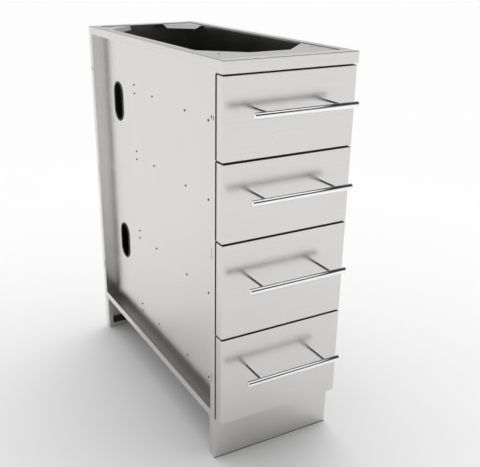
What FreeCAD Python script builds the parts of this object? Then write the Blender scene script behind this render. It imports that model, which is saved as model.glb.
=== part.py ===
import FreeCAD, Part
import math
import os
import Sketcher

# Outdoor kitchen drawer unit: a narrow sheet steel cabinet with four drawers on telescopic slides.
# X runs across the cabinet, Y from front to back and Z up from the floor. In the sizes below a
# setback is measured back from the plane of the drawer faces.

DIMENSIONS = {
    # Cabinet and sheet metal
    "cabinet_width": 304.8,
    "cabinet_depth": 736.6,
    "sheet": 1.2,
    "bend_radius": 1.6,
    "carcass_setback": 27.4,
    "side_recess": 24.3,
    "side_lip": 19.0,
    # Stack of drawer faces, from the floor up
    "toe_kick_height": 101.6,
    "bottom_reveal": 5.0,
    "large_face_height": 210.7,
    "small_face_height": 162.2,
    "face_gap": 3.1,
    "apron_height": 24.2,
    "apron_proud": 2.5,
    # Top frame
    "side_flange": 21.4,
    "rear_flange": 30.0,
    "skirt_height": 19.0,
    "deck_setback": 82.5,
    "front_gusset_leg": 79.5,
    "rear_gusset_leg": 80.0,
    "hem_width": 13.0,
    "hem_taper": 16.0,
    "worktop_hole": 8.0,
    "worktop_hole_inset": 44.9,
    "worktop_hole_setback": 96.0,
    "worktop_hole_rear_inset": 45.8,
    # Toe kicks and inner panels
    "toe_kick_flange": 24.0,
    "toe_kick_lip": 13.0,
    "bottom_upstand": 12.0,
    "back_flange": 15.0,
    # Cable slots and their grommets
    "grommet_width": 59.5,
    "grommet_height": 101.6,
    "grommet_rim": 2.5,
    "grommet_wall": 2.0,
    "grommet_flange": 1.6,
    "grommet_setback": 600.3,
    "lower_grommet_rise": 224.7,
    "upper_grommet_drop": 176.7,
    # Openings that join one cabinet to the next
    "joining_hole_length": 14.0,
    "joining_hole_height": 8.0,
    "joining_hole_inset": 10.0,
    "joining_hole_drop": 108.4,
    "joining_slot_width": 5.0,
    "joining_slot_length": 25.0,
    "joining_slot_inset": 13.0,
    "lower_slot_rise": 108.5,
    "upper_slot_rise": 400.0,
    # Drawer faces, boxes and seals
    "face_depth": 24.6,
    "face_reveal": 1.6,
    "liner_depth": 10.0,
    "box_length": 480.0,
    "box_rise": 14.0,
    "small_box_height": 90.0,
    "large_box_height": 145.0,
    "box_lip": 8.0,
    "seal_width": 11.2,
    "seal_inset": 0.4,
    "seal_end_inset": 1.0,
    "seal_clearance": 0.3,
    # Slides
    "slide_length": 457.2,
    "slide_setback": 47.0,
    "slide_rise": 60.6,
    "slide_width": 12.7,
    "slide_height": 45.0,
    "slide_sheet": 1.2,
    "slide_clearance": 0.4,
    "slide_screw": 3.6,
    "slide_screw_hole": 4.0,
    "slide_screw_head": 5.2,
    "slide_screw_head_height": 1.4,
    "first_screw_run": 54.2,
    "second_screw_run": 162.2,
    "third_screw_inset": 121.8,
    "screw_pair_inset": 12.4,
    "screw_pair_spacing": 20.6,
    # Handles
    "handle_length": 231.6,
    "handle_diameter": 12.7,
    "handle_chamfer": 0.6,
    "handle_standoff": 52.0,
    "small_face_handle_rise": 14.8,
    "large_face_handle_rise": 20.2,
    "post_spacing": 164.0,
    "post_diameter": 8.0,
    "handle_screw": 4.8,
    "handle_screw_hole": 5.0,
    "handle_screw_head": 9.0,
    "handle_screw_head_height": 2.6,
    "handle_screw_reach": 14.0,
}

EDGE_TOLERANCE = 0.01

doc = FreeCAD.newDocument("drawer_unit")


class Formula:
    """Arithmetic over the sheet's cells, kept as the text that an expression takes."""

    def __init__(self, text):
        self.text = str(text)

    def __str__(self):
        return self.text

    def join(self, mark, other):
        return Formula(f"({self} {mark} {other})")

    def __add__(self, other):
        return self.join("+", other)

    def __sub__(self, other):
        return self.join("-", other)

    def __mul__(self, other):
        return self.join("*", other)

    def __truediv__(self, other):
        return self.join("/", other)

    def __neg__(self):
        return Formula(f"(0 - {self})")


class Cells:
    """The named cells of the sheet, each read as a formula."""

    def __getattr__(self, name):
        if name not in DIMENSIONS:
            raise AttributeError(name)
        return Formula(f"dims.{name}")


def make_sheet():
    cells = doc.addObject("Spreadsheet::Sheet", "dims")
    for row, (name, value) in enumerate(DIMENSIONS.items(), start=1):
        cells.set(f"A{row}", name)
        cells.set(f"B{row}", str(value))
        cells.setAlias(f"B{row}", name)
    doc.recompute()
    return cells


sheet = make_sheet()
d = Cells()
ZERO = Formula(0)
SIDES = ("left", "right")

# Distances from the middle of the cabinet, outwards
half_width = d.cabinet_width / 2
web_outside = half_width - d.side_recess
web_inside = web_outside - d.sheet
box_outside = web_inside - d.slide_width
face_half_width = half_width - d.face_reveal

# Drawers are numbered from the top: two small ones above two large ones
face_heights = [d.small_face_height, d.small_face_height, d.large_face_height, d.large_face_height]
box_heights = [d.small_box_height, d.small_box_height, d.large_box_height, d.large_box_height]
small_rise = d.small_face_handle_rise
large_rise = d.large_face_handle_rise
handle_rises = [small_rise, small_rise, large_rise, large_rise]


def stack_faces():
    """Height range of each drawer face from the top drawer down, and the bottom of the apron."""
    faces = []
    level = d.toe_kick_height + d.bottom_reveal
    for height in reversed(face_heights):
        faces.insert(0, (level, level + height))
        level = level + height + d.face_gap
    return faces, level


face_ranges, apron_bottom = stack_faces()
overall_height = apron_bottom + d.apron_height
frame_underside = overall_height - d.sheet
deck_underside = frame_underside - d.sheet
skirt_bottom = overall_height - d.skirt_height
slide_levels = [bottom + d.slide_rise for bottom, top in face_ranges]
handle_levels = [(bottom + top) / 2 + rise for (bottom, top), rise in zip(face_ranges, handle_rises)]

# Setbacks shared by several pieces
carcass = (d.carcass_setback, d.cabinet_depth)
apron_front = -d.apron_proud
front_rail_back = d.carcass_setback
rear_rail_front = d.cabinet_depth - d.rear_flange
slide_range = (d.slide_setback, d.slide_setback + d.slide_length)

# The origin is on the floor, midway between the sides and midway between handles and back
handle_reach = d.handle_standoff + d.handle_diameter / 2
origin_shift = (handle_reach - d.cabinet_depth) / 2

nodes = []


# Ranges

def both(reach):
    """The range that reaches equally far to both sides of the middle."""
    return (-reach, reach)


def on(side, near, far):
    """The X range between two distances from the middle, on the given side."""
    return (near, far) if side == "right" else (-far, -near)


def at(side, distance):
    return distance if side == "right" else -distance


def about(middle, length):
    return (middle - length / 2, middle + length / 2)


def inset(span, gap):
    return (span[0] + gap, span[1] - gap)


def outward(side):
    """Name of the face that looks away from the middle on the given side."""
    return "x+" if side == "right" else "x-"


def inward(side):
    return "x-" if side == "right" else "x+"


# Features

def add_node(feature, label):
    """Keeps a finished sub-part, moved from the face plane to the origin."""
    feature.Label = label
    feature.setExpression("Placement.Base.y", str(origin_shift))
    nodes.append(feature)


def new_body(name):
    body = doc.addObject("PartDesign::Body", name)
    body.AllowCompound = True
    return body


def new_piece(label):
    """A body that is a sub-part by itself."""
    body = new_body(label)
    add_node(body, label)
    return body


def bind(feature, properties):
    for name, formula in properties.items():
        feature.setExpression(name, str(formula))


def bind_place(feature, place):
    bind(feature, {f"Placement.Base.{axis}": formula for axis, formula in zip("xyz", place)})


def size_block(box, x, y, z):
    """Gives a box its two X, two Y and two Z values."""
    bind(box, {"Length": x[1] - x[0], "Width": y[1] - y[0], "Height": z[1] - z[0]})
    bind_place(box, (x[0], y[0], z[0]))
    return box


def block(body, name, x, y, z, cut=False):
    """A box added to a body or cut from it."""
    kind = "SubtractiveBox" if cut else "AdditiveBox"
    return size_block(body.newObject(f"PartDesign::{kind}", name), x, y, z)


ROD_TURNS = {
    "x": FreeCAD.Rotation(FreeCAD.Vector(0, 1, 0), 90),
    "y": FreeCAD.Rotation(FreeCAD.Vector(1, 0, 0), -90),
    "z": FreeCAD.Rotation(),
}
# Hems lean halfway down from flat
HEM_LEAN = FreeCAD.Rotation(FreeCAD.Vector(1, 0, 0), -45)


def size_rod(cylinder, axis, x, y, z, diameter):
    """Lays a cylinder along an axis, whose own coordinate is a range and the others plain values."""
    cylinder.Placement = FreeCAD.Placement(FreeCAD.Vector(), ROD_TURNS[axis])
    place = {"x": x, "y": y, "z": z}
    low, high = place[axis]
    place[axis] = low
    bind(cylinder, {"Radius": diameter / 2, "Height": high - low})
    bind_place(cylinder, place.values())
    return cylinder


def rod(body, name, axis, x, y, z, diameter, cut=False):
    """A cylinder added to a body or cut from it."""
    kind = "SubtractiveCylinder" if cut else "AdditiveCylinder"
    return size_rod(body.newObject(f"PartDesign::{kind}", name), axis, x, y, z, diameter)


def loose_rod(name, axis, x, y, z, diameter):
    return size_rod(doc.addObject("Part::Cylinder", name), axis, x, y, z, diameter)


def fuse(name, shapes):
    fusion = doc.addObject("Part::MultiFuse", name)
    fusion.Shapes = shapes
    fusion.Refine = True
    return fusion


def upright_slot(name, x, y, z, width, height):
    """A round-ended upright slot or plug through an X range, centred at y and z."""
    centres = about(z, height - width)
    middle = doc.addObject("Part::Box", f"{name}_middle")
    size_block(middle, x, about(y, width), centres)
    ends = [loose_rod(f"{name}_end", "x", x, y, centre, width) for centre in centres]
    return fuse(name, [middle, *ends])


def level_slot(name, x, y, z, length, height):
    """A round-ended slot that lies level along Y, through an X range."""
    centres = about(y, length - height)
    middle = doc.addObject("Part::Box", f"{name}_middle")
    size_block(middle, x, centres, about(z, height))
    ends = [loose_rod(f"{name}_end", "x", x, centre, z, height) for centre in centres]
    return fuse(name, [middle, *ends])


def cut_away(label, base, tools):
    """A sub-part made by cutting every tool from a base."""
    together = doc.addObject("Part::Compound", f"{label}_cutters")
    together.Links = tools
    piece = doc.addObject("Part::Cut", label)
    piece.Base = base
    piece.Tool = together
    add_node(piece, label)


def touched_sides(edge, box):
    """The sides of a bounding box that an edge lies in, such as {"y-", "z+"}."""
    touched = set()
    for axis in "XYZ":
        low = getattr(edge.BoundBox, f"{axis}Min")
        high = getattr(edge.BoundBox, f"{axis}Max")
        if high - getattr(box, f"{axis}Min") < EDGE_TOLERANCE:
            touched.add(f"{axis.lower()}-")
        if getattr(box, f"{axis}Max") - low < EDGE_TOLERANCE:
            touched.add(f"{axis.lower()}+")
    return touched


def round_bends(body, blank, square_sides=()):
    """Rounds a block's edges, except those round the sides that are left square."""
    doc.recompute([blank])
    box = blank.Shape.BoundBox
    picked = []
    for number, edge in enumerate(blank.Shape.Edges, start=1):
        if not touched_sides(edge, box) & set(square_sides):
            picked.append(f"Edge{number}")
    bends = body.newObject("PartDesign::Fillet", "bends")
    bends.Base = (blank, picked)
    bind(bends, {"Radius": d.bend_radius})


def tray(body, x, y, z, open_sides=()):
    """Sheet folded into a box with rounded bends, open on the named sides or closed all round."""
    blank = block(body, "blank", x, y, z)
    round_bends(body, blank, open_sides)
    hollow = []
    for axis, span in zip("xyz", (x, y, z)):
        low = span[0] if f"{axis}-" in open_sides else span[0] + d.sheet
        high = span[1] if f"{axis}+" in open_sides else span[1] - d.sheet
        hollow.append((low, high))
    block(body, "hollow", *hollow, cut=True)


def outline_plate(body, points, level):
    """A flat plate from its corner points, one sheet thick, with its underside at the level."""
    plane = next(part for part in body.Origin.OriginFeatures if part.Role == "XY_Plane")
    sketch = body.newObject("Sketcher::SketchObject", "outline")
    sketch.AttachmentSupport = [(plane, "")]
    sketch.MapMode = "FlatFace"
    bind(sketch, {"AttachmentOffset.Base.z": level})
    spots = [[float(sheet.evalExpression(str(value))) for value in point] for point in points]
    corners = [FreeCAD.Vector(*spot, 0) for spot in spots]
    count = len(corners)
    for number in range(count):
        edge = Part.LineSegment(corners[number], corners[(number + 1) % count])
        sketch.addGeometry(edge, False)
    for number in range(count):
        sketch.addConstraint(Sketcher.Constraint("Coincident", number, 2, (number + 1) % count, 1))
    for number, point in enumerate(points):
        for way, formula, value in zip(("DistanceX", "DistanceY"), point, spots[number]):
            index = sketch.addConstraint(Sketcher.Constraint(way, -1, 1, number, 1, value))
            sketch.setExpression(f"Constraints[{index}]", str(formula))
    plate = body.newObject("PartDesign::Pad", "plate")
    plate.Profile = sketch
    bind(plate, {"Length": d.sheet})


def turned_hem(body, name, start, heading, length):
    """A deck plate's edge bent halfway down into the opening, its far corners cut back.

    It runs from the start point along the heading, in degrees from X, with the plate on its right.
    """
    hem = body.newObject("PartDesign::AdditiveWedge", name)
    turn = FreeCAD.Rotation(FreeCAD.Vector(0, 0, 1), heading).multiply(HEM_LEAN)
    hem.Placement = FreeCAD.Placement(FreeCAD.Vector(), turn)
    bind_place(hem, (*start, frame_underside))
    bind(hem, {"Xmin": d.sheet, "Xmax": length - d.sheet})
    bind(hem, {"X2min": d.hem_taper, "X2max": length - d.hem_taper})
    bind(hem, {"Ymin": ZERO, "Ymax": d.hem_width})
    bind(hem, {"Zmin": -d.sheet, "Zmax": ZERO, "Z2min": -d.sheet, "Z2max": ZERO})


# Carcass

def slide_screw_spots(level):
    """Setback and height of the screws that hold one slide, the same on both sides."""
    front, rear = slide_range
    setbacks = (front + d.first_screw_run, front + d.second_screw_run, rear - d.third_screw_inset)
    spots = [(setback, level) for setback in setbacks]
    for height in about(level, d.screw_pair_spacing):
        spots.append((rear - d.screw_pair_inset, height))
    return spots


def all_slide_screw_spots():
    """The screws of all the slides on one side."""
    return [spot for level in slide_levels for spot in slide_screw_spots(level)]


def grommet_levels():
    return (d.toe_kick_height + d.lower_grommet_rise, overall_height - d.upper_grommet_drop)


def cable_slots(side):
    width = d.grommet_width - d.grommet_rim * 2
    height = d.grommet_height - d.grommet_rim * 2
    web = on(side, web_inside, web_outside)
    setback = d.grommet_setback
    return [upright_slot("cable_slot", web, setback, level, width, height) for level in grommet_levels()]


def joining_holes(side):
    """Openings in both upright lips, through which one cabinet is bolted to the next."""
    lip = on(side, half_width - d.sheet, half_width)
    openings = []
    for setback in inset(carcass, d.joining_hole_inset):
        level = overall_height - d.joining_hole_drop
        length = d.joining_hole_length
        openings.append(level_slot("joining_hole", lip, setback, level, length, d.joining_hole_height))
    for setback in inset(carcass, d.joining_slot_inset):
        for rise in (d.lower_slot_rise, d.upper_slot_rise):
            level = d.toe_kick_height + rise
            width = d.joining_slot_width
            length = d.joining_slot_length
            openings.append(upright_slot("joining_slot", lip, setback, level, width, length))
    return openings


def side_panel(side):
    """A side whose web is set in, with flanges folded outwards and lips folded round its edge."""
    folded = new_body(f"side_{side}_folded_sheet")
    tray(folded, on(side, web_inside, half_width), carcass, (d.toe_kick_height, frame_underside))
    lip = on(side, half_width - d.sheet, half_width)
    mouth_z = (d.toe_kick_height + d.side_lip, skirt_bottom)
    block(folded, "mouth", lip, inset(carcass, d.side_lip), mouth_z, cut=True)
    top = (skirt_bottom, frame_underside)
    block(folded, "skirt_notch", lip, carcass, top, cut=True)
    rear = (d.cabinet_depth - d.sheet, d.cabinet_depth)
    block(folded, "rear_notch", on(side, web_inside, half_width), rear, top, cut=True)
    web = on(side, web_inside, web_outside)
    holes = cable_slots(side) + joining_holes(side)
    for setback, level in all_slide_screw_spots():
        holes.append(loose_rod("screw_hole", "x", web, setback, level, d.slide_screw_hole))
    cut_away(f"side_panel_{side}", folded, holes)


def back_panel():
    body = new_piece("back_panel")
    back = d.cabinet_depth - d.sheet
    height = (d.toe_kick_height + d.bottom_upstand, deck_underside)
    tray(body, both(web_inside), (back - d.back_flange, back), height, ["y-"])


def bottom_panel():
    body = new_piece("bottom_panel")
    depth = (d.carcass_setback, d.cabinet_depth - d.sheet)
    height = (d.toe_kick_height, d.toe_kick_height + d.bottom_upstand)
    tray(body, both(web_inside), depth, height, ["z+"])


def end_rails():
    """Front and rear rails of the top frame, with ends returned round the corners."""
    front = new_piece("top_rail_front")
    height = (apron_bottom, overall_height)
    tray(front, both(half_width), (apron_front, front_rail_back), height, ["y+", "z-"])
    rear = new_piece("top_rail_rear")
    depth = (rear_rail_front, d.cabinet_depth)
    tray(rear, both(half_width), depth, (skirt_bottom, overall_height), ["y-", "z-"])


def side_rail(side):
    body = new_piece(f"top_rail_{side}")
    width = on(side, half_width - d.side_flange, half_width)
    depth = (front_rail_back, rear_rail_front)
    height = (skirt_bottom, overall_height)
    tray(body, width, depth, height, [inward(side), "y-", "y+", "z-"])


def worktop_hole(body, side, setback):
    spot = at(side, half_width - d.worktop_hole_inset)
    level = (deck_underside, frame_underside)
    rod(body, "worktop_hole", "z", spot, setback, level, d.worktop_hole, cut=True)


def front_deck_plate():
    """Plate behind the apron with a gusset to each side, its free edges folded down."""
    body = new_piece("front_deck_plate")
    corner = web_inside - d.front_gusset_leg
    gusset_end = d.deck_setback + d.front_gusset_leg
    front = apron_front + d.sheet
    right = [(web_inside, front), (web_inside, gusset_end), (corner, d.deck_setback)]
    left = [(-x, y) for x, y in reversed(right)]
    outline_plate(body, right + left, deck_underside)
    slope = d.front_gusset_leg * math.sqrt(2)
    turned_hem(body, "hem_left", (-web_inside, gusset_end), -45, slope)
    turned_hem(body, "hem_middle", (-corner, d.deck_setback), 0, corner * 2)
    turned_hem(body, "hem_right", (corner, d.deck_setback), 45, slope)
    for side in SIDES:
        worktop_hole(body, side, d.worktop_hole_setback)


def rear_gusset(side):
    body = new_piece(f"rear_gusset_{side}")
    corner = web_inside - d.rear_gusset_leg
    back = d.cabinet_depth - d.sheet
    gusset_end = rear_rail_front - d.rear_gusset_leg
    points = [(web_inside, back), (corner, back), (corner, rear_rail_front), (web_inside, gusset_end)]
    outline_plate(body, [(at(side, x), y) for x, y in points], deck_underside)
    slope = d.rear_gusset_leg * math.sqrt(2)
    if side == "right":
        turned_hem(body, "hem", (web_inside, gusset_end), 135, slope)
    else:
        turned_hem(body, "hem", (-corner, rear_rail_front), -135, slope)
    worktop_hole(body, side, d.cabinet_depth - d.worktop_hole_rear_inset)


def toe_kick(name, depth, mouth_depth):
    """A hollow plinth under one end of the cabinet, with lips round its hidden side."""
    body = new_piece(f"toe_kick_{name}")
    width = both(half_width)
    height = (ZERO, d.toe_kick_height)
    tray(body, width, depth, height)
    lip = d.toe_kick_lip
    block(body, "mouth", inset(width, lip), mouth_depth, inset(height, lip), cut=True)


def toe_kicks():
    front = (d.carcass_setback, d.carcass_setback + d.toe_kick_flange)
    toe_kick("front", front, (front[1] - d.sheet, front[1]))
    rear = (d.cabinet_depth - d.toe_kick_flange, d.cabinet_depth)
    toe_kick("rear", rear, (rear[0], rear[0] + d.sheet))


def cable_grommets():
    """Edge trims in the four cable slots, each clasping the web between two rims."""
    width = d.grommet_width
    height = d.grommet_height
    plug_width = width - d.grommet_rim * 2
    plug_height = height - d.grommet_rim * 2
    bore_width = plug_width - d.grommet_wall * 2
    bore_height = plug_height - d.grommet_wall * 2
    setback = d.grommet_setback
    layers = []
    bores = []
    for side in SIDES:
        inner = on(side, web_inside - d.grommet_flange, web_inside)
        web = on(side, web_inside, web_outside)
        outer = on(side, web_outside, web_outside + d.grommet_flange)
        whole = on(side, web_inside - d.grommet_flange, web_outside + d.grommet_flange)
        for level in grommet_levels():
            layers.append(upright_slot("inner_rim", inner, setback, level, width, height))
            layers.append(upright_slot("plug", web, setback, level, plug_width, plug_height))
            layers.append(upright_slot("outer_rim", outer, setback, level, width, height))
            bores.append(upright_slot("bore", whole, setback, level, bore_width, bore_height))
    cut_away("cable_grommets", fuse("grommet_layers", layers), bores)


def slide_screws():
    """Screws from outside each web into the fixed members of the slides."""
    rods = []
    for side in SIDES:
        shank = on(side, web_inside - d.slide_sheet, web_outside)
        head = on(side, web_outside, web_outside + d.slide_screw_head_height)
        for setback, level in all_slide_screw_spots():
            rods.append(loose_rod("screw_shank", "x", shank, setback, level, d.slide_screw))
            rods.append(loose_rod("screw_head", "x", head, setback, level, d.slide_screw_head))
    add_node(fuse("slide_screws", rods), "slide_screws")


def drawer_seals():
    """Strips on the front flanges of the carcass that each drawer face closes against."""
    body = new_piece("drawer_seals")
    depth = (d.face_depth + d.seal_clearance, d.carcass_setback)
    outer_edge = half_width - d.seal_inset
    for face in face_ranges:
        for side in SIDES:
            width = on(side, outer_edge - d.seal_width, outer_edge)
            block(body, "seal", width, depth, inset(face, d.seal_end_inset))


# Slides

slide_step = d.slide_sheet + d.slide_clearance
member_width = d.slide_width - slide_step * 2


def channel(body, x, level, height, open_side):
    """A slide member: a channel along Y, open towards one side."""
    block(body, "member", x, slide_range, about(level, height))
    hollow_x = (x[0] + d.slide_sheet, x[1]) if open_side == "x+" else (x[0], x[1] - d.slide_sheet)
    hollow_z = inset(about(level, height), d.slide_sheet)
    block(body, "member_hollow", hollow_x, slide_range, hollow_z, cut=True)


def outer_slide(number, side, level):
    body = new_piece(f"slide_{number}_outer_{side}")
    width = on(side, web_inside - member_width, web_inside)
    channel(body, width, level, d.slide_height, inward(side))
    web = on(side, web_inside - d.slide_sheet, web_inside)
    for setback, height in slide_screw_spots(level):
        rod(body, "screw_hole", "x", web, setback, height, d.slide_screw_hole, cut=True)


def middle_slides(number, level):
    body = new_piece(f"slide_{number}_middle_pair")
    outer_end = web_inside - slide_step
    for side in SIDES:
        width = on(side, outer_end - member_width, outer_end)
        channel(body, width, level, d.slide_height - slide_step * 2, inward(side))


def inner_slide(number, side, level):
    body = new_piece(f"drawer_{number}_slide_{side}")
    width = on(side, box_outside, box_outside + member_width)
    channel(body, width, level, d.slide_height - slide_step * 4, outward(side))


# Drawers

def front_panel(number, face, handle_level):
    body = new_piece(f"drawer_{number}_front_panel")
    tray(body, both(face_half_width), (ZERO, d.face_depth), face, ["y+"])
    for spot in about(ZERO, d.post_spacing):
        hole = d.handle_screw_hole
        rod(body, "handle_hole", "y", spot, (ZERO, d.sheet), handle_level, hole, cut=True)


def liner(number, face):
    """Inner skin that closes the back of the face."""
    body = new_piece(f"drawer_{number}_liner")
    depth = (d.face_depth - d.liner_depth, d.face_depth)
    tray(body, inset(both(face_half_width), d.sheet), depth, inset(face, d.sheet), ["y-"])


def drawer_box(number, face, height):
    body = new_piece(f"drawer_{number}_box")
    bottom = face[0] + d.box_rise
    top = bottom + height
    width = both(box_outside)
    depth = (d.face_depth, d.face_depth + d.box_length)
    tray(body, width, depth, (bottom, top))
    lip = d.box_lip
    block(body, "mouth", inset(width, lip), inset(depth, lip), (top - d.sheet, top), cut=True)


def handle_bar(number, level):
    body = new_piece(f"drawer_{number}_handle_bar")
    length = about(ZERO, d.handle_length)
    bar = rod(body, "bar", "x", length, -d.handle_standoff, level, d.handle_diameter)
    doc.recompute([bar])
    rims = [f"Edge{n}" for n, e in enumerate(bar.Shape.Edges, start=1) if e.isClosed()]
    chamfer = body.newObject("PartDesign::Chamfer", "bar_ends")
    chamfer.Base = (bar, rims)
    bind(chamfer, {"Size": d.handle_chamfer})


def handle_posts(number, level):
    """Two posts, fitted round the bar at one end and drilled for a screw at the other."""
    body = new_piece(f"drawer_{number}_handle_posts")
    for spot in about(ZERO, d.post_spacing):
        rod(body, "post", "y", spot, (-d.handle_standoff, ZERO), level, d.post_diameter)
        drilled = (-d.handle_screw_reach, ZERO)
        rod(body, "screw_bore", "y", spot, drilled, level, d.handle_screw, cut=True)
    bar = about(ZERO, d.handle_length)
    rod(body, "bar_seat", "x", bar, -d.handle_standoff, level, d.handle_diameter, cut=True)


def handle_screws(number, level):
    body = new_piece(f"drawer_{number}_handle_screws")
    for spot in about(ZERO, d.post_spacing):
        shank = (d.sheet - d.handle_screw_reach, d.sheet)
        rod(body, "shank", "y", spot, shank, level, d.handle_screw)
        head = (d.sheet, d.sheet + d.handle_screw_head_height)
        rod(body, "head", "y", spot, head, level, d.handle_screw_head)


def drawer(number, face, box_height, slide_level, handle_level):
    front_panel(number, face, handle_level)
    liner(number, face)
    drawer_box(number, face, box_height)
    handle_bar(number, handle_level)
    handle_posts(number, handle_level)
    handle_screws(number, handle_level)
    middle_slides(number, slide_level)
    for side in SIDES:
        outer_slide(number, side, slide_level)
        inner_slide(number, side, slide_level)


# Assembly and export

def build_carcass():
    for side in SIDES:
        side_panel(side)
        side_rail(side)
        rear_gusset(side)
    end_rails()
    front_deck_plate()
    back_panel()
    bottom_panel()
    toe_kicks()
    cable_grommets()
    slide_screws()
    drawer_seals()


def build_drawers():
    stack = zip(face_ranges, box_heights, slide_levels, handle_levels)
    for number, sizes in enumerate(stack, start=1):
        drawer(number, *sizes)


def check_document():
    for feature in doc.Objects:
        if {"Invalid", "Error"} & set(feature.State):
            raise RuntimeError(f"{feature.Name} is {feature.State}")
    for node in nodes:
        if node.Shape.isNull() or not node.Shape.isValid():
            raise RuntimeError(f"{node.Label} has no valid shape")


def export_nodes():
    os.makedirs("parts", exist_ok=True)
    for node in nodes:
        node.Shape.exportStep(f"parts/{node.Label}.step")


build_carcass()
build_drawers()
doc.recompute()
check_document()
export_nodes()
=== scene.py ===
"""Outdoor kitchen drawer unit: finishes, fittings, floor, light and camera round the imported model."""

import math

import bmesh
import bpy
from mathutils import Euler, Matrix, Vector


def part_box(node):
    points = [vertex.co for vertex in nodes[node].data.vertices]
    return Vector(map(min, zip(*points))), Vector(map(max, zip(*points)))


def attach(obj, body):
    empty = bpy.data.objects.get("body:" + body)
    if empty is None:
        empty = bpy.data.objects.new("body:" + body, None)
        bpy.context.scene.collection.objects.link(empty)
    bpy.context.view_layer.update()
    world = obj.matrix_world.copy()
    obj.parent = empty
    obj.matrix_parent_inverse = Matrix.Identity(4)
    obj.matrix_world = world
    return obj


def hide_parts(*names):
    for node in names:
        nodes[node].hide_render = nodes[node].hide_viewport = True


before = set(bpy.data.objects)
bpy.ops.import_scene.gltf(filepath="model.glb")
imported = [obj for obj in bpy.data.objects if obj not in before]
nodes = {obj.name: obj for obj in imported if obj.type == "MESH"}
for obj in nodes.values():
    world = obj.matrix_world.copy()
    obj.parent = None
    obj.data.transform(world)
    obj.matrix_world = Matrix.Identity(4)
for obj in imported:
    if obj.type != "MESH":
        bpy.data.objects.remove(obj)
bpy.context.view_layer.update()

DRAWERS = (1, 2, 3, 4)
SIDES = {"left": -1, "right": 1}

# Gauge of the cabinet's and the slides' sheet, in metres
SHEET = 0.0012

# Places read from the frame, in metres
panel_low, panel_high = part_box("side_panel_right")
web_inside = panel_low.x
web_outside = web_inside + SHEET
half_width = panel_high.x
carcass_front = panel_low.y
carcass_back = panel_high.y
deck_top = panel_high.z
front_rail_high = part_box("top_rail_front")[1]
frame_top = front_rail_high.z
front_rail_edge = front_rail_high.y
rear_rail_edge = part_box("top_rail_rear")[0].y
side_rail_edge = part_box("top_rail_right")[0].x
rear_gusset_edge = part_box("rear_gusset_right")[0].x
back_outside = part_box("back_panel")[1].y


# Node trees

# The range that most of a noise texture's values lie in
NOISE_ENDS = (0.3, 0.7)

# The bend of a softened normal at which an edge counts as fully worn and fully lightened by a painted
# highlight
FULL_BEND = 0.3


class Tree:
    """The node tree of a material or world, with short calls for the nodes used here."""

    def __init__(self, owner):
        owner.use_nodes = True
        self.owner = owner
        self.nodes = owner.node_tree.nodes
        self.links = owner.node_tree.links
        self.coordinates = self.add("ShaderNodeTexCoord").outputs
        self.place = self.coordinates["Object"]

    def add(self, kind, inputs=None, **settings):
        node = self.nodes.new(kind)
        for name, value in settings.items():
            setattr(node, name, value)
        for name, value in (inputs or {}).items():
            self.feed(node.inputs[name], value)
        return node

    def feed(self, socket, value):
        """Sets a socket to a number or colour, or links it to another node's output."""
        if isinstance(value, bpy.types.NodeSocket):
            self.links.new(value, socket)
        elif hasattr(value, "__len__") and len(value) == 3 and socket.type == "RGBA":
            socket.default_value = (*value, 1.0)
        else:
            socket.default_value = value

    def math(self, operation, first, second=0.0):
        return self.add("ShaderNodeMath", {0: first, 1: second}, operation=operation).outputs[0]

    def noise(self, stretch, detail, rough):
        """Noise over the object's own place, finer along an axis where the stretch is larger."""
        scaled = self.add("ShaderNodeVectorMath", {0: self.place, 1: stretch}, operation="MULTIPLY")
        node = self.add("ShaderNodeTexNoise", {"Vector": scaled.outputs[0], "Scale": 1.0,
                                               "Detail": detail, "Roughness": rough})
        return node.outputs["Fac"]

    def spread(self, value, low, high, start=0.0, end=1.0):
        """Maps a value from one range to another, held at both ends."""
        node = self.add("ShaderNodeMapRange", {"Value": value, "From Min": start, "From Max": end,
                                               "To Min": low, "To Max": high})
        return node.outputs["Result"]

    def mix(self, factor, first, second, blend="MIX"):
        """Mixes two colours."""
        node = self.add("ShaderNodeMix", data_type="RGBA", blend_type=blend)
        self.feed(node.inputs["Factor"], factor)
        colours = [s for s in node.inputs if s.type == "RGBA"]
        self.feed(colours[0], first)
        self.feed(colours[1], second)
        return next(s for s in node.outputs if s.type == "RGBA")

    def grey(self, value):
        """A grey colour whose brightness is a value."""
        return self.add("ShaderNodeCombineColor", {0: value, 1: value, 2: value}).outputs[0]

    def worn_and_highlit_edges(self, radius):
        """How worn an edge is at each point, from the bend of a softened normal, and that normal; materials
        lighten edges by it, partly as wear and partly as a painted highlight.
        """
        soft = self.add("ShaderNodeBevel", {"Radius": radius}, samples=4)
        plain = self.add("ShaderNodeNewGeometry").outputs["Normal"]
        both = self.add("ShaderNodeVectorMath", {0: soft.outputs[0], 1: plain}, operation="DOT_PRODUCT")
        bend = self.math("SUBTRACT", 1.0, both.outputs["Value"])
        return self.spread(bend, 0.0, 1.0, 0.0, FULL_BEND), soft.outputs[0]

    def bump(self, height, distance, strength, normal):
        node = self.add("ShaderNodeBump", {"Height": height, "Distance": distance, "Strength": strength,
                                           "Normal": normal})
        return node.outputs["Normal"]

    def finish(self, **inputs):
        """Feeds the shader's inputs and gives back the material."""
        shader = self.nodes["Principled BSDF"]
        for name, value in inputs.items():
            self.feed(shader.inputs[name.replace("_", " ")], value)
        return self.owner


def material_tree(name):
    return Tree(bpy.data.materials.new(name))


# Materials

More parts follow.
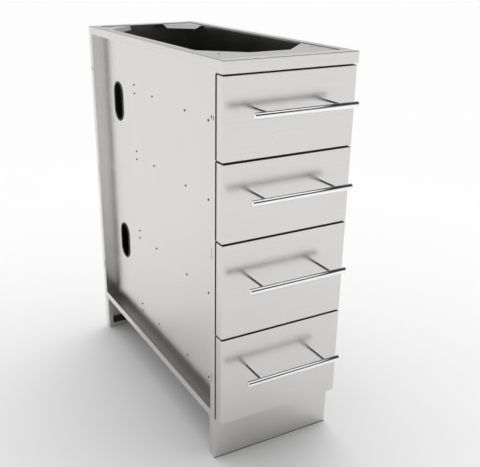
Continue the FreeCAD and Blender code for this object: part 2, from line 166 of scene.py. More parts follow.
GRAIN = {"x": (6.0, 1400.0, 1400.0), "y": (1400.0, 6.0, 1400.0), "z": (1400.0, 1400.0, 6.0)}
STREAKS = {"x": (2.0, 240.0, 240.0), "y": (240.0, 2.0, 240.0), "z": (240.0, 240.0, 2.0)}
STEEL = (0.7, 0.693, 0.677)
RUBBED_AND_HIGHLIT_STEEL = (0.86, 0.86, 0.85)
BOX_STEEL = (0.6, 0.595, 0.58)
# Painted shade: the dark tint of the cabinet's unlit inside
INSIDE_SHADE_STEEL = (0.3, 0.297, 0.29)
# Painted shade along the front rail's joint with the deck plate
JOINT_SHADE_TONE = (0.1, 0.1, 0.1)
CHROME = (0.97, 0.97, 0.975)
ZINC = (0.6, 0.61, 0.63)
DARK_ZINC = (0.16, 0.16, 0.165)
RUBBED_AND_HIGHLIT_ZINC = (0.8, 0.8, 0.8)
ZINC_WARMTH = (1.04, 1.0, 0.92)
PLASTIC_TONE = (0.01, 0.01, 0.01)
# Also the tone of the strips that paint shade over the drawer faces' top bends and along the toe kick's
# foot
RUBBER_TONE = (0.012, 0.012, 0.012)
# Painted shade: the tone of the dark fillets along the deck's seams
SEAM_SHADE_TONE = (0.06, 0.06, 0.058)

# How far a sheet's edges and the smaller pieces' edges are worn and lightened with a painted highlight, in
# metres
SHEET_EDGE = 0.0006
SMALL_EDGE = 0.0004


def brushed_steel(name, grain, tint=STEEL, roughness=0.24, polished=None, joint=None):
    """Sheet steel with a fine directional grain, uneven polish and edges rubbed brighter, partly wear and
    partly a painted highlight.

    Where an axis and a distance from the middle are given for the inside, the sheet nearer than that
    is painted dark: painted shade for the cabinet's unlit inside. Further back than the joint given,
    its top is painted dark too: painted shade for the shade line along that joint.
    """
    tree = material_tree(name)
    fine = tree.noise(GRAIN[grain], 3.0, 0.6)
    streak = tree.noise(STREAKS[grain], 2.0, 0.5)
    cloud = tree.noise((6.0, 6.0, 6.0), 3.0, 0.5)
    smudge = tree.noise((38.0, 38.0, 38.0), 4.0, 0.6)
    edge, soft_normal = tree.worn_and_highlit_edges(SHEET_EDGE)
    grain_mark = tree.math("ADD", tree.spread(fine, 0.96, 1.04, *NOISE_ENDS),
                           tree.spread(streak, -0.01, 0.01, *NOISE_ENDS))
    shade = tree.math("MULTIPLY", grain_mark, tree.spread(cloud, 0.985, 1.01, *NOISE_ENDS))
    place = tree.add("ShaderNodeSeparateXYZ", {0: tree.place}).outputs
    # Painted shade: the inner side of the sheet is tinted dark for the cabinet's unlit inside
    if polished:
        axis, limit = polished
        away = tree.math("ABSOLUTE", place[axis])
        outer = tree.spread(away, 0.0, 1.0, limit - SHEET / 4, limit + SHEET / 4)
        tint = tree.mix(outer, INSIDE_SHADE_STEEL, tint)
    # Painted shade: the top of the rail is tinted dark just before its back edge, as the shade line at the
    # joint
    if joint:
        behind = tree.spread(place["Y"], 0.0, 1.0, joint, joint + 0.0002)
        on_top = tree.spread(place["Z"], 0.0, 1.0, frame_top - 0.0003, frame_top - 0.0001)
        tint = tree.mix(tree.math("MULTIPLY", behind, on_top), tint, JOINT_SHADE_TONE)
    colour = tree.mix(1.0, tint, tree.grey(shade), "MULTIPLY")
    # Edges lightened: partly wear, partly a painted highlight
    colour = tree.mix(tree.math("MULTIPLY", edge, 0.5), colour, RUBBED_AND_HIGHLIT_STEEL)
    gloss = tree.math("ADD", tree.spread(cloud, roughness - 0.02, roughness + 0.03, *NOISE_ENDS),
                      tree.spread(smudge, -0.01, 0.02, 0.45, 0.75))
    gloss = tree.math("ADD", gloss, tree.math("MULTIPLY", edge, 0.12))
    normal = tree.bump(tree.math("ADD", fine, streak), 0.000006, 0.6, soft_normal)
    return tree.finish(Base_Color=colour, Metallic=1.0, Roughness=gloss, Normal=normal)


def polished_chrome(name, tint, roughness):
    """Mirror plating with faint wipe marks and hairlines."""
    tree = material_tree(name)
    cloud = tree.noise((30.0, 60.0, 60.0), 3.0, 0.6)
    hairline = tree.noise((20.0, 1400.0, 1400.0), 2.0, 0.5)
    edge, soft_normal = tree.worn_and_highlit_edges(SMALL_EDGE)
    shade = tree.grey(tree.spread(cloud, 0.96, 1.0, *NOISE_ENDS))
    colour = tree.mix(1.0, tint, shade, "MULTIPLY")
    gloss = tree.math("ADD", tree.spread(cloud, roughness, roughness + 0.025, 0.4, 0.75),
                      tree.math("MULTIPLY", edge, 0.08))
    normal = tree.bump(hairline, 0.000002, 0.2, soft_normal)
    return tree.finish(Base_Color=colour, Metallic=1.0, Roughness=gloss, Normal=normal)


def zinc_plate(name, tint, roughness=0.32):
    """Electroplated steel: mottled, faintly uneven in colour and duller than the sheet."""
    tree = material_tree(name)
    mottle = tree.noise((180.0, 180.0, 180.0), 4.0, 0.6)
    cloud = tree.noise((20.0, 20.0, 20.0), 2.0, 0.5)
    edge, soft_normal = tree.worn_and_highlit_edges(SMALL_EDGE)
    warm = tuple(level * share for level, share in zip(tint, ZINC_WARMTH))
    colour = tree.mix(tree.spread(cloud, 0.0, 1.0, 0.35, 0.65), tint, warm)
    colour = tree.mix(1.0, colour, tree.grey(tree.spread(mottle, 0.9, 1.05, *NOISE_ENDS)), "MULTIPLY")
    # Edges lightened: partly wear, partly a painted highlight
    colour = tree.mix(tree.math("MULTIPLY", edge, 0.4), colour, RUBBED_AND_HIGHLIT_ZINC)
    gloss = tree.spread(mottle, roughness - 0.06, roughness + 0.08, *NOISE_ENDS)
    normal = tree.bump(mottle, 0.00002, 0.5, soft_normal)
    return tree.finish(Base_Color=colour, Metallic=1.0, Roughness=gloss, Normal=normal)


def moulded(name, tint, roughness, grit, depth):
    """Moulded plastic or rubber with a fine grained skin, as deep as given, and edges rubbed paler, partly
    wear and partly a painted highlight.
    """
    tree = material_tree(name)
    skin_grain = tree.noise((grit, grit, grit), 3.0, 0.6)
    cloud = tree.noise((45.0, 45.0, 45.0), 2.0, 0.5)
    edge, soft_normal = tree.worn_and_highlit_edges(SMALL_EDGE)
    pale = tuple(level * 1.8 + 0.01 for level in tint)
    colour = tree.mix(tree.spread(cloud, 0.0, 0.35, 0.35, 0.7), tint, pale)
    # Edges lightened: partly wear, partly a painted highlight
    colour = tree.mix(tree.math("MULTIPLY", edge, 0.5), colour, pale)
    gloss = tree.spread(skin_grain, roughness - 0.08, roughness + 0.08, *NOISE_ENDS)
    normal = tree.bump(skin_grain, depth, 0.6, soft_normal)
    return tree.finish(Base_Color=colour, Metallic=0.0, Roughness=gloss, Normal=normal)


# The width of the painted shade strip on the front rail at its joint with the deck plate behind it, in
# metres
FRONT_JOINT_WIDTH = 0.0022

front_steel = brushed_steel("brushed_steel_fronts", "x")
side_steel = brushed_steel("brushed_steel_sides", "z", polished=("X", web_inside + SHEET / 2))
back_steel = brushed_steel("brushed_steel_back", "z", polished=("Y", back_outside - SHEET / 2))
top_steel = brushed_steel("brushed_steel_top", "x", roughness=0.33)
front_rail_steel = brushed_steel("brushed_steel_front_rail", "x", joint=front_rail_edge - FRONT_JOINT_WIDTH)
box_steel = brushed_steel("mill_steel_boxes", "y", tint=BOX_STEEL, roughness=0.32)
# The bottom panel is painted dark all over: painted shade for the cabinet's unlit inside
inside_shade_steel = brushed_steel("painted_shade_steel_inside", "z", tint=INSIDE_SHADE_STEEL, roughness=0.34)
chrome = polished_chrome("chrome", CHROME, 0.015)
zinc = zinc_plate("zinc_plate", ZINC)
dark_zinc = zinc_plate("dark_zinc_plate", DARK_ZINC)
black_plastic = moulded("black_plastic", PLASTIC_TONE, 0.5, 900.0, 0.00002)
rubber = moulded("rubber", RUBBER_TONE, 0.7, 600.0, 0.00003)
# Dark fillets that paint the shade lines at the deck's seams
seam_shade = moulded("seam_shade", SEAM_SHADE_TONE, 0.5, 400.0, 0.00003)


def dress(material, *names):
    """Gives nodes of the frame a material."""
    for name in names:
        mesh = nodes[name].data
        mesh.materials.clear()
        mesh.materials.append(material)


def dress_frame():
    """Gives every node that stays in view its material."""
    dress(side_steel, "side_panel_left", "side_panel_right")
    dress(front_rail_steel, "top_rail_front")
    dress(top_steel, "top_rail_rear", "top_rail_left", "top_rail_right", "front_deck_plate",
          "rear_gusset_left", "rear_gusset_right")
    dress(front_steel, "toe_kick_front", "toe_kick_rear")
    dress(back_steel, "back_panel")
    dress(inside_shade_steel, "bottom_panel")
    for number in DRAWERS:
        dress(front_steel, f"drawer_{number}_front_panel", f"drawer_{number}_liner")
        dress(box_steel, f"drawer_{number}_box")
        dress(chrome, f"drawer_{number}_handle_posts")


# Mesh building

CREASE = math.radians(35.0)


def add_piece(name, mesh, material, slot, body, *replaced):
    """Turns a form into a piece on a body, smooth except along its creases."""
    bmesh.ops.recalc_face_normals(mesh, faces=mesh.faces)
    data = bpy.data.meshes.new(name)
    mesh.to_mesh(data)
    mesh.free()
    data.shade_smooth()
    data.set_sharp_from_angle(angle=CREASE)
    data.materials.append(material)
    piece = bpy.data.objects.new(name, data)
    bpy.context.scene.collection.objects.link(piece)
    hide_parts(*replaced)
    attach(piece, body)
    return piece


def skin(mesh, rings, closed=False):
    """Adds faces between successive rings of points, where a ring of one point closes the form."""
    rows = [[mesh.verts.new(point) for point in ring] for ring in rings]
    for first, second in zip(rows, rows[1:] + rows[:1] if closed else rows[1:]):
        count = max(len(first), len(second))
        for step in range(count):
            after = (step + 1) % count
            corners = [first[step % len(first)], first[after % len(first)],
                       second[after % len(second)], second[step % len(second)]]
            mesh.faces.new(list(dict.fromkeys(corners)))
    return rows


def turned(mesh, profile, start, axis, steps=24):
    """Adds a lathe-turned form from (distance along the axis, radius), closed at both ends."""
    side = axis.orthogonal().normalized()
    other = axis.cross(side)
    rings = []
    for distance, radius in profile:
        centre = start + axis * distance
        angles = [2 * math.pi * step / steps for step in range(steps)] if radius else [0.0]
        ways = [side * math.cos(angle) + other * math.sin(angle) for angle in angles]
        rings.append([centre + way * radius for way in ways])
    skin(mesh, rings)


def swept(mesh, outline, run):
    """Adds a solid bar from a closed outline and the way it runs."""
    rows = skin(mesh, [outline, [point + run for point in outline]])
    for row in rows:
        mesh.faces.new(row)


def rounded_rod(radius, length, rim, steps=4):
    """Profile for turned() of a rod with rounded rims."""
    profile = [(0.0, 0.0)]
    for step in range(steps + 1):
        angle = math.pi / 2 * step / steps
        profile.append((rim * (1 - math.cos(angle)), radius - rim * (1 - math.sin(angle))))
    return profile + [(length - distance, reach) for distance, reach in reversed(profile)]


def round_corners(points, radius, steps=4):
    """An open path of 2D points with its inner corners rounded."""
    path = [points[0]]
    for before, corner, after in zip(points, points[1:], points[2:]):
        start = corner + (before - corner).normalized() * radius
        end = corner + (after - corner).normalized() * radius
        for step in range(steps + 1):
            t = step / steps
            path.append(start * (1 - t) ** 2 + corner * 2 * t * (1 - t) + end * t ** 2)
    path.append(points[-1])
    return path


def thicken(path, thickness):
    """The closed outline of a sheet whose middle follows an open path of 2D points."""
    left = []
    right = []
    for number, point in enumerate(path):
        along = path[min(number + 1, len(path) - 1)] - path[max(number - 1, 0)]
        out = Vector((-along.y, along.x)).normalized() * thickness / 2
        left.append(point + out)
        right.append(point - out)
    return left + right[::-1]


def loop_about(width, height, steps, level=False):
    """A round-ended loop in the YZ plane, upright or level, each point with the way out of the loop."""
    reach = (height - width) / 2
    loop = []
    for end, middle in ((0, reach), (1, -reach)):
        for step in range(steps + 1):
            angle = math.pi * (end + step / steps)
            out = Vector((0.0, math.cos(angle), math.sin(angle)))
            point = out * width / 2 + Vector((0.0, 0.0, middle))
            if level:
                out, point = out.xzy, point.xzy
            loop.append((point, out))
    return loop


def loop_rings(loop, centre, axis, profile):
    """Rings round a loop from (offset out of the loop, distance along the axis); None is its centre."""
    rings = []
    for offset, depth in profile:
        if offset is None:
            rings.append([centre + axis * depth])
        else:
            rings.append([centre + point + out * offset + axis * depth for point, out in loop])
    return rings


def loose(mesh):
    """A spare object in the scene that holds a form."""
    data = bpy.data.meshes.new("spare")
    mesh.to_mesh(data)
    mesh.free()
    spare = bpy.data.objects.new("spare", data)
    bpy.context.scene.collection.objects.link(spare)
    return spare


def remove(spare):
    data = spare.data
    bpy.data.objects.remove(spare)
    bpy.data.meshes.remove(data)


def cut(mesh, cutter):
    """A form with a cutter taken out of it."""
    bmesh.ops.recalc_face_normals(mesh, faces=mesh.faces)
    bmesh.ops.recalc_face_normals(cutter, faces=cutter.faces)
    whole, tool = loose(mesh), loose(cutter)
    modifier = whole.modifiers.new("cut", "BOOLEAN")
    modifier.object = tool
    modifier.solver = "EXACT"
    result = bmesh.new()
    result.from_mesh(whole.evaluated_get(bpy.context.evaluated_depsgraph_get()).to_mesh())
    remove(whole)
    remove(tool)
    return result


def copies(form, places):
    """A form repeated at several places."""
    data = bpy.data.meshes.new("pattern")
    form.to_mesh(data)
    form.free()
    mesh = bmesh.new()
    for place in places:
        count = len(mesh.verts)
        mesh.from_mesh(data)
        mesh.verts.ensure_lookup_table()
        bmesh.ops.transform(mesh, matrix=place, verts=mesh.verts[count:])
    bpy.data.meshes.remove(data)
    return mesh


def facing(axis, place):
    """The turn and move that lead from +Z at the origin to an axis at a place."""
    turn = Vector((0.0, 0.0, 1.0)).rotation_difference(axis)
    return Matrix.Translation(place) @ turn.to_matrix().to_4x4()


# Screws

X_AXIS = Vector((1.0, 0.0, 0.0))
Y_AXIS = Vector((0.0, 1.0, 0.0))
Z_AXIS = Vector((0.0, 0.0, 1.0))


# The dome of a pan head, as shares of its rise and radius, and its cross recess, as shares of the same
PAN_DOME = ((0.0, 1.0), (0.35, 1.0), (0.7, 0.92), (0.93, 0.7), (1.0, 0.35), (1.0, 0.0))
CROSS_REACH = 0.55
CROSS_HALF_WIDTH = 0.13
CROSS_BOTTOM = 0.45


def pan_screw(head, rise, shank, reach):
    """A screw along +Z with its shank below zero and a domed head with a cross recess above."""
    mesh = bmesh.new()
    radius = head / 2
    dome = [(rise * up, radius * out) for up, out in PAN_DOME]
    turned(mesh, [(-reach, 0.0), (-reach, shank / 2), (0.0, shank / 2), *dome], Vector(), Z_AXIS)
    cross = bmesh.new()
    wing = radius * CROSS_REACH
    blade = radius * CROSS_HALF_WIDTH
    depth = rise * CROSS_BOTTOM
    corners = [(blade, wing), (blade, blade), (wing, blade),
               (wing, -blade), (blade, -blade), (blade, -wing)]
    corners += [(-x, -y) for x, y in corners]
    outline = [Vector((x, y, depth)) for x, y in corners]
    swept(cross, outline, Z_AXIS * rise)
    return cut(mesh, cross)


SLIDE_SCREW_HEAD = 0.0052
SLIDE_SCREW_RISE = 0.0014
SLIDE_SCREW_SHANK = 0.0036
FIRST_SCREW_RUN = 0.0542
SECOND_SCREW_RUN = 0.1622
THIRD_SCREW_INSET = 0.1218
SCREW_PAIR_INSET = 0.0124
SCREW_PAIR_REACH = 0.0103


def slide_spots(number):
    """Where the screws of a drawer's fixed slides go: Y and Z."""
    low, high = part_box(f"slide_{number}_outer_right")
    level = (low.z + high.z) / 2
    spots = [(low.y + FIRST_SCREW_RUN, level), (low.y + SECOND_SCREW_RUN, level),
             (high.y - THIRD_SCREW_INSET, level)]
    pair = (-SCREW_PAIR_REACH, SCREW_PAIR_REACH)
    return spots + [(high.y - SCREW_PAIR_INSET, level + rise) for rise in pair]


def make_slide_screws():
    places = []
    for sign in SIDES.values():
        for number in DRAWERS:
            for y, z in slide_spots(number):
                places.append(facing(X_AXIS * sign, Vector((sign * web_outside, y, z))))
    screws = copies(pan_screw(SLIDE_SCREW_HEAD, SLIDE_SCREW_RISE, SLIDE_SCREW_SHANK, SHEET * 2), places)
    add_piece("slide_screws_cross_head", screws, dark_zinc, "zinc_steel", "cabinet", "slide_screws")


HANDLE_SCREW_HEAD = 0.009
HANDLE_SCREW_RISE = 0.0026
HANDLE_SCREW_SHANK = 0.0048


def make_handle_screws():
    for number in DRAWERS:
        node = f"drawer_{number}_handle_screws"
        low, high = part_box(node)
        level = (low.z + high.z) / 2
        seat = high.y - HANDLE_SCREW_RISE
        left = low.x + HANDLE_SCREW_HEAD / 2
        places = [facing(Y_AXIS, Vector((x, seat, level))) for x in (left, -left)]
        screw = pan_screw(HANDLE_SCREW_HEAD, HANDLE_SCREW_RISE, HANDLE_SCREW_SHANK, seat - low.y)
        add_piece(f"{node}_cross_head", copies(screw, places), zinc, "zinc_steel", f"drawer_{number}", node)


# Rubber and plastic fittings

GROMMET_HEIGHT = 0.1016
GROMMET_BORE_OFFSET = 0.0045

# The section of a rim: out from its bore, and in from its outer face
GROMMET_PROFILE = ((0.0, 0.0007), (0.0002, 0.0003), (0.0007, 0.0), (0.0038, 0.0),
                   (0.0043, 0.0003), (0.0045, 0.0008), (0.0045, 0.0016), (0.002, 0.0016),
                   (0.002, 0.0028), (0.0045, 0.0028), (0.0045, 0.0036), (0.0043, 0.0041),
                   (0.0038, 0.0044), (0.0007, 0.0044), (0.0002, 0.0041), (0.0, 0.0037))


def make_grommets():
    """The moulded rims of the cable slots, each gripping the edge of the side panel's web."""
    low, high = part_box("cable_grommets")
    width = high.y - low.y
    bore = 2 * GROMMET_BORE_OFFSET
    loop = loop_about(width - bore, GROMMET_HEIGHT - bore, 20)
    mesh = bmesh.new()
    for sign in SIDES.values():
        for level in (low.z + GROMMET_HEIGHT / 2, high.z - GROMMET_HEIGHT / 2):
            centre = Vector((sign * high.x, (low.y + high.y) / 2, level))
            skin(mesh, loop_rings(loop, centre, X_AXIS * -sign, GROMMET_PROFILE), closed=True)
    add_piece("cable_grommet_rims", mesh, black_plastic, "black_plastic", "cabinet", "cable_grommets")


SEAL_WIDTH = 0.0112
SEAL_END_INSET = 0.001
SEAL_CORNER = 0.0009


def make_seals():
    """Strips of rubber behind the edges of every drawer face, their front corners rounded."""
    low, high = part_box("drawer_seals")
    mesh = bmesh.new()
    for number in DRAWERS:
        face_low, face_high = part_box(f"drawer_{number}_front_panel")
        bottom = face_low.z + SEAL_END_INSET
        rise = face_high.z - SEAL_END_INSET - bottom
        for sign in SIDES.values():
            edge = high.x
            corners = [(edge - SEAL_WIDTH, high.y), (edge - SEAL_WIDTH, low.y),
                       (edge, low.y), (edge, high.y)]
            path = round_corners([Vector(corner) for corner in corners], SEAL_CORNER)
            outline = [Vector((sign * x, y, bottom)) for x, y in path]
            swept(mesh, outline, Z_AXIS * rise)
    add_piece("drawer_seal_strips", mesh, rubber, "rubber", "cabinet", "drawer_seals")


FACE_BEND = 0.0016
FACE_STRIP_THICKNESS = 0.0004
FACE_STRIP_DEPTH = 0.011
FACE_STRIP_INSET = 0.003
FACE_STRIP_START = math.radians(35)
FACE_STRIP_STEPS = 6


def make_face_strips(number):
    """A thin black rubber strip laid over the top bend of a drawer face: painted shade that keeps the gap
    above it dark.
    """
    low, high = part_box(f"drawer_{number}_front_panel")
    bend = Vector((low.y + FACE_BEND, high.z - FACE_BEND))
    reach = FACE_BEND + FACE_STRIP_THICKNESS / 2
    path = []
    for step in range(FACE_STRIP_STEPS + 1):
        angle = FACE_STRIP_START + (math.pi / 2 - FACE_STRIP_START) * step / FACE_STRIP_STEPS
        path.append(bend + Vector((-math.cos(angle), math.sin(angle))) * reach)
    path.append(Vector((low.y + FACE_STRIP_DEPTH, high.z + FACE_STRIP_THICKNESS / 2)))
    outline = [Vector((low.x + FACE_STRIP_INSET, y, z)) for y, z in thicken(path, FACE_STRIP_THICKNESS)]
    mesh = bmesh.new()
    swept(mesh, outline, X_AXIS * (high.x - low.x - 2 * FACE_STRIP_INSET))
    add_piece(f"drawer_{number}_face_shade_strip", mesh, rubber, "rubber", f"drawer_{number}")


TOE_SHADE_STRIP_RISE = 0.0016
TOE_SHADE_STRIP_PROUD = 0.0004


def make_toe_shade_strip():
    """A black rubber strip along the foot of the front toe kick: painted shade for the contact shadow where
    it meets the floor.
    """
    low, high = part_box("toe_kick_front")
    front = low.y - TOE_SHADE_STRIP_PROUD
    top = low.z + TOE_SHADE_STRIP_RISE
    corners = [(low.y, low.z), (front, low.z), (front, top), (low.y, top)]
    path = round_corners([Vector(corner) for corner in corners], TOE_SHADE_STRIP_PROUD / 2)
    mesh = bmesh.new()
    swept(mesh, [Vector((low.x, y, z)) for y, z in path], X_AXIS * (high.x - low.x))
    add_piece("toe_kick_floor_shade_strip", mesh, rubber, "rubber", "cabinet")


JOINING_HOLE_LENGTH = 0.014
JOINING_HOLE_HEIGHT = 0.008
JOINING_HOLE_INSET = 0.010
JOINING_HOLE_DROP = 0.1084
PLUG_SINK = 0.0001
PLUG_PROFILE = ((None, -0.0012), (-0.0001, -0.0012), (-0.0001, -0.0002), (-0.0004, 0.0), (None, 0.0))
POCKET_PROFILE = ((None, -0.0003), (0.0, -0.0003), (0.0, 0.00002), (None, 0.00002))
POCKET_REACH = 0.0045
POCKET_WIDTH = 0.0034
POCKET_HEIGHT = 0.0064


def make_lip_plugs():
    """Flush plugs in the level slots of the upright lips, each with two dark pockets to lift it out by."""
    loop = loop_about(JOINING_HOLE_HEIGHT, JOINING_HOLE_LENGTH, 10, level=True)
    pocket_loop = loop_about(POCKET_WIDTH, POCKET_HEIGHT, 6)
    level = frame_top - JOINING_HOLE_DROP
    plugs = bmesh.new()
    pockets = bmesh.new()
    for sign in SIDES.values():
        for y in (carcass_front + JOINING_HOLE_INSET, carcass_back - JOINING_HOLE_INSET):
            out = X_AXIS * sign
            centre = Vector((sign * half_width, y, level)) - out * PLUG_SINK
            skin(plugs, loop_rings(loop, centre, out, PLUG_PROFILE))
            for reach in (-POCKET_REACH, POCKET_REACH):
                skin(pockets, loop_rings(pocket_loop, centre + Y_AXIS * reach, out, POCKET_PROFILE))
    add_piece("lip_plugs", plugs, side_steel, "stainless_panel", "cabinet")
    add_piece("lip_plug_pockets", pockets, black_plastic, "black_plastic", "cabinet")


# The section of a dark fillet that paints the shade line at a rail's edge: out to the rail's edge, and up
SEAM_SECTION = ((0.0, 0.0), (-0.0017, 0.0), (-0.0009, 0.0003), (-0.0004, 0.0007), (0.0, 0.0011))


def seam(mesh, start, end, out):
    """Adds a dark fillet against a rail's edge, painted shade for the shade line there: out leads from the
    seam to the rail.
    """
    outline = [start + out * reach + Z_AXIS * rise for reach, rise in SEAM_SECTION]
    swept(mesh, outline, end - start)


def make_deck_seams():
    """Dark fillets where the deck plate and the rear gussets meet the rails: painted shade for the shade
    lines at those steps.
    """
    mesh = bmesh.new()
    for sign in SIDES.values():
        front = Vector((sign * side_rail_edge, front_rail_edge, deck_top))
        rear = Vector((sign * side_rail_edge, rear_rail_edge, deck_top))
        inner = Vector((sign * rear_gusset_edge, rear_rail_edge, deck_top))
        seam(mesh, front, rear, X_AXIS * sign)
        seam(mesh, inner, rear, Y_AXIS)
    ends = [Vector((x, front_rail_edge, deck_top)) for x in (-side_rail_edge, side_rail_edge)]
    seam(mesh, *ends, -Y_AXIS)
    add_piece("deck_seams_painted_shade", mesh, seam_shade, "rubber", "cabinet")


# Handles

BAR_RIM = 0.0006
BAR_STEPS = 96


def make_handle_bars():
    """Round bars whose ends have rounded rims."""
    for number in DRAWERS:
        node = f"drawer_{number}_handle_bar"
        low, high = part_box(node)
        radius = (high.y - low.y) / 2
        start = Vector((low.x, (low.y + high.y) / 2, (low.z + high.z) / 2))
        mesh = bmesh.new()
        turned(mesh, rounded_rod(radius, high.x - low.x, BAR_RIM), start, X_AXIS, BAR_STEPS)
        add_piece(f"{node}_round", mesh, chrome, "chrome_bar", f"drawer_{number}", node)


# Slides

# The sizes below are in metres, and the shares are of a member's length
SLIDE_BEND = 0.0014
SCREW_HOLE = 0.004
MIDDLE_HOLE = (0.008, 0.022)
MIDDLE_HOLE_SHARES = (0.12, 0.4, 0.68, 0.9)
INNER_HOLE = (0.006, 0.014)
INNER_HOLE_SHARES = (0.18, 0.48, 0.8)
INNER_SCREW_HEAD = 0.007
INNER_SCREW_RISE = 0.0016
INNER_SCREW_SHANK = 0.004
INNER_SCREW_SHARES = (0.06, 0.36, 0.66)
LEVER_SHARE = 0.5
LEVER_THICKNESS = 0.0016
LEVER_BEVEL = 0.0004
LEVER_OUTLINE = ((-0.032, 0.001), (-0.026, 0.0045), (0.006, 0.0062), (0.018, 0.0105), (0.029, 0.0115),
                 (0.032, 0.0085), (0.022, 0.0045), (0.008, -0.0005), (-0.024, -0.0035), (-0.032, -0.0025))

# A hole this much longer than wide has both its round ends and still looks round
ROUND_LENGTH = 1.001

outer_low, outer_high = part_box("slide_1_outer_right")
member_width = outer_high.x - outer_low.x


def channel(low, high, sign, far, opening):
    """A rolled channel along Y whose outer side is far from the middle; it opens "in" or "out"."""
    mesh = bmesh.new()
    near = far - member_width
    level = (low.z + high.z) / 2
    flange = (high.z - low.z - SHEET) / 2
    web, tip = (far - SHEET / 2, near) if opening == "in" else (near + SHEET / 2, far)
    corners = [(tip, flange), (web, flange), (web, -flange), (tip, -flange)]
    section = thicken(round_corners([Vector(corner) for corner in corners], SLIDE_BEND), SHEET)
    outline = [Vector((sign * x, low.y, level + z)) for x, z in section]
    swept(mesh, outline, Y_AXIS * (high.y - low.y))
    return mesh


def web_holes(sign, far, spots, width, length):
    """Cutters for round-ended holes that lie level in a member's web."""
    cutter = bmesh.new()
    loop = loop_about(width, length, 8, level=True)
    for y, z in spots:
        start = Vector((sign * (far - member_width - SHEET), y, z))
        reach = member_width + SHEET * 2
        profile = ((None, 0.0), (0.0, 0.0), (0.0, reach), (None, reach))
        skin(cutter, loop_rings(loop, start, X_AXIS * sign, profile))
    return cutter


def runs(low, high, shares):
    """Places along a slide, as shares of its length, at its middle height."""
    return [(low.y + (high.y - low.y) * share, (low.z + high.z) / 2) for share in shares]


def make_outer_slides(number):
    """The members on the cabinet, with a hole at each of their screws."""
    for side, sign in SIDES.items():
        node = f"slide_{number}_outer_{side}"
        low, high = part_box(node)
        holes = web_holes(sign, web_inside, slide_spots(number), SCREW_HOLE, SCREW_HOLE * ROUND_LENGTH)
        member = cut(channel(low, high, sign, web_inside, "in"), holes)
        add_piece(f"{node}_rolled", member, zinc, "zinc_steel", "cabinet", node)


def make_middle_slides(number):
    """The members between the outer and the inner ones, with long holes in their webs."""
    node = f"slide_{number}_middle_pair"
    low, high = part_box(node)
    pair = bmesh.new()
    for sign in SIDES.values():
        holes = web_holes(sign, high.x, runs(low, high, MIDDLE_HOLE_SHARES), *MIDDLE_HOLE)
        member = loose(cut(channel(low, high, sign, high.x, "in"), holes))
        pair.from_mesh(member.data)
        remove(member)
    add_piece(f"{node}_rolled", pair, zinc, "zinc_steel", f"slide_{number}_middle", node)


def make_inner_slides(number):
    """The members on a drawer, with their screws and a release lever inside the channel."""
    for side, sign in SIDES.items():
        node = f"drawer_{number}_slide_{side}"
        low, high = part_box(node)
        far = max(abs(low.x), abs(high.x))
        face = sign * (far - member_width + SHEET)
        holes = web_holes(sign, far, runs(low, high, INNER_HOLE_SHARES), *INNER_HOLE)
        member = cut(channel(low, high, sign, far, "out"), holes)
        add_piece(f"{node}_rolled", member, zinc, "zinc_steel", f"drawer_{number}", node)
        out = X_AXIS * sign
        places = [facing(out, Vector((face, y, z))) for y, z in runs(low, high, INNER_SCREW_SHARES)]
        screw = pan_screw(INNER_SCREW_HEAD, INNER_SCREW_RISE, INNER_SCREW_SHANK, SHEET / 2)
        add_piece(f"{node}_screws", copies(screw, places), zinc, "zinc_steel", f"drawer_{number}")
        (y, z), = runs(low, high, (LEVER_SHARE,))
        outline = [Vector((face, y + run, z + sign * rise)) for run, rise in LEVER_OUTLINE]
        lever = bmesh.new()
        swept(lever, outline, out * LEVER_THICKNESS)
        bmesh.ops.bevel(lever, geom=lever.edges[:], offset=LEVER_BEVEL, segments=2, affect="EDGES")
        add_piece(f"{node}_lever", lever, black_plastic, "black_plastic", f"drawer_{number}")


# Floor, light and camera

FLOOR_REACH = 40.0

# The floor's painted shadow: its shade near the middle, where the unit stands, and further away, with the
# distances where it changes, in metres
NEAR_SHADE = 0.92
FAR_SHADE = 0.98
NEAR_REACH = 0.3
FAR_REACH = 1.6


def make_floor():
    """A wide matt floor, darker round the middle with a painted shadow, and faintly uneven."""
    mesh = bmesh.new()
    bmesh.ops.create_grid(mesh, x_segments=4, y_segments=4, size=FLOOR_REACH)
    data = bpy.data.meshes.new("floor")
    mesh.to_mesh(data)
    mesh.free()
    floor = bpy.data.objects.new("floor", data)
    bpy.context.scene.collection.objects.link(floor)
    tree = material_tree("studio_floor")
    tone = tree.spread(tree.noise((0.7, 0.7, 0.7), 2.0, 0.5), -0.004, 0.004, *NOISE_ENDS)
    away = tree.add("ShaderNodeVectorMath", {0: tree.place}, operation="LENGTH").outputs["Value"]
    # Painted shadow round the middle of the floor, where the unit stands
    painted_floor_shadow = tree.spread(away, NEAR_SHADE, FAR_SHADE, NEAR_REACH, FAR_REACH)
    shade = tree.grey(tree.math("ADD", tone, painted_floor_shadow))
    data.materials.append(tree.finish(Base_Color=shade, Roughness=0.9, Specular_IOR_Level=0.0))


# Brightness of the studio as metal mirrors it, by the sine of the height above the horizon: pale near the
# floor and dark overhead, with the glow reaching higher behind than in front
SKY_STEPS = ((0.0, 1.0), (0.08, 0.93), (0.16, 0.57), (0.32, 0.32), (0.55, 0.09), (0.8, 0.015), (1.0, 0.015))

# The bright overhead panel that metal mirrors, by its reach along Y and X for each metre of height
GLOW_TILT = -0.3
PANEL_LEVEL = 1.1
PANEL_FRONT = -0.5
PANEL_BACK = 0.18
PANEL_RIGHT = 0.83
PANEL_BLUR = 0.04

# The least height above the horizon by which those reaches are worked out
LEAST_HEIGHT = 0.02

# The soft light on matt surfaces comes mostly from above, behind and the right
KEY_WAY = Vector((0.38, 0.62, 0.68)).normalized()
KEY_START = -0.2
KEY_LEVEL = 1.8


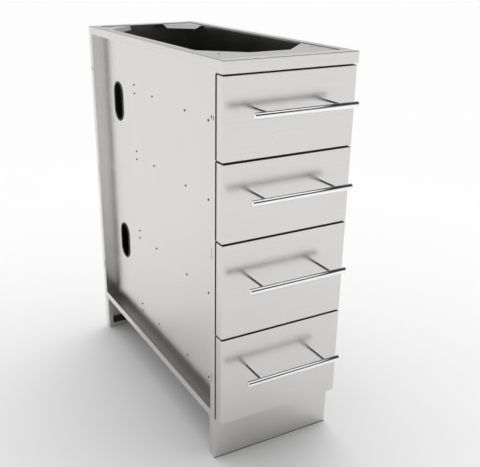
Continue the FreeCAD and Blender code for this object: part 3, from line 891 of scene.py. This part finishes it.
def step_mask(tree, value, edge):
    """Nought below an edge and one above it, with a soft change."""
    return tree.spread(value, 0.0, 1.0, edge - PANEL_BLUR, edge + PANEL_BLUR)


def mirrored_studio(tree, direction):
    """What metal mirrors: a sky that darkens upwards, with one bright panel in it."""
    across, along, up = tree.add("ShaderNodeSeparateXYZ", {0: direction}).outputs
    tilted = tree.math("MULTIPLY", up, tree.math("ADD", 1.0, tree.math("MULTIPLY", along, GLOW_TILT)))
    ramp = tree.add("ShaderNodeValToRGB", {"Fac": tilted})
    ramp.color_ramp.interpolation = "EASE"
    points = ramp.color_ramp.elements
    while len(points) < len(SKY_STEPS):
        points.new(0.5)
    for point, (height, level) in zip(points, SKY_STEPS):
        point.position = height
        point.color = (level, level, level, 1.0)
    height = tree.math("MAXIMUM", up, LEAST_HEIGHT)
    forward = tree.math("DIVIDE", along, height)
    sideways = tree.math("DIVIDE", across, height)
    mask = tree.math("MULTIPLY", step_mask(tree, forward, PANEL_FRONT),
                     tree.math("SUBTRACT", 1.0, step_mask(tree, forward, PANEL_BACK)))
    mask = tree.math("MULTIPLY", mask, tree.math("SUBTRACT", 1.0, step_mask(tree, sideways, PANEL_RIGHT)))
    return tree.mix(mask, ramp.outputs["Color"], (PANEL_LEVEL, PANEL_LEVEL, PANEL_LEVEL))


def make_light():
    """A plain studio: white behind, a soft key light on matt surfaces and a sky with a panel for metal."""
    world = bpy.data.worlds.new("studio")
    bpy.context.scene.world = world
    tree = Tree(world)
    direction = tree.coordinates["Generated"]
    towards_key = tree.add("ShaderNodeVectorMath", {0: direction, 1: KEY_WAY}, operation="DOT_PRODUCT")
    soft = tree.grey(tree.spread(towards_key.outputs["Value"], 0.0, KEY_LEVEL, KEY_START, 1.0))
    rays = tree.add("ShaderNodeLightPath").outputs
    colour = tree.mix(rays["Is Glossy Ray"], soft, mirrored_studio(tree, direction))
    seen = tree.math("MAXIMUM", rays["Is Camera Ray"], rays["Is Transmission Ray"])
    colour = tree.mix(seen, colour, (1.0, 1.0, 1.0))
    tree.feed(tree.nodes["Background"].inputs["Color"], colour)
    tree.nodes["Background"].inputs["Strength"].default_value = 1.0


CAMERA_PLACE = Vector((-0.7658, -1.4649, 1.0653))
CAMERA_AZIMUTH = math.radians(27.448)
CAMERA_ELEVATION = math.radians(21.993)
CAMERA_ROLL = math.radians(-0.084)
CAMERA_SENSOR = 36.0
CAMERA_LENS = 53.05
CAMERA_SHIFT = (0.0661, 0.0118)


def make_camera():
    camera = bpy.data.objects.new("camera", bpy.data.cameras.new("camera"))
    bpy.context.scene.collection.objects.link(camera)
    look = Euler((math.pi / 2 - CAMERA_ELEVATION, 0.0, -CAMERA_AZIMUTH)).to_matrix().to_4x4()
    roll = Matrix.Rotation(CAMERA_ROLL, 4, "Z")
    camera.matrix_world = Matrix.Translation(CAMERA_PLACE) @ look @ roll
    camera.data.lens = CAMERA_LENS
    camera.data.sensor_width = CAMERA_SENSOR
    camera.data.shift_x, camera.data.shift_y = CAMERA_SHIFT
    bpy.context.scene.camera = camera


def make_pieces():
    make_slide_screws()
    make_handle_screws()
    make_grommets()
    make_seals()
    make_lip_plugs()
    make_toe_shade_strip()
    make_deck_seams()
    make_handle_bars()
    for number in DRAWERS:
        make_face_strips(number)
        make_outer_slides(number)
        make_middle_slides(number)
        make_inner_slides(number)


make_camera()
make_floor()
make_light()
dress_frame()
make_pieces()

bpy.context.scene.view_settings.view_transform = "Standard"
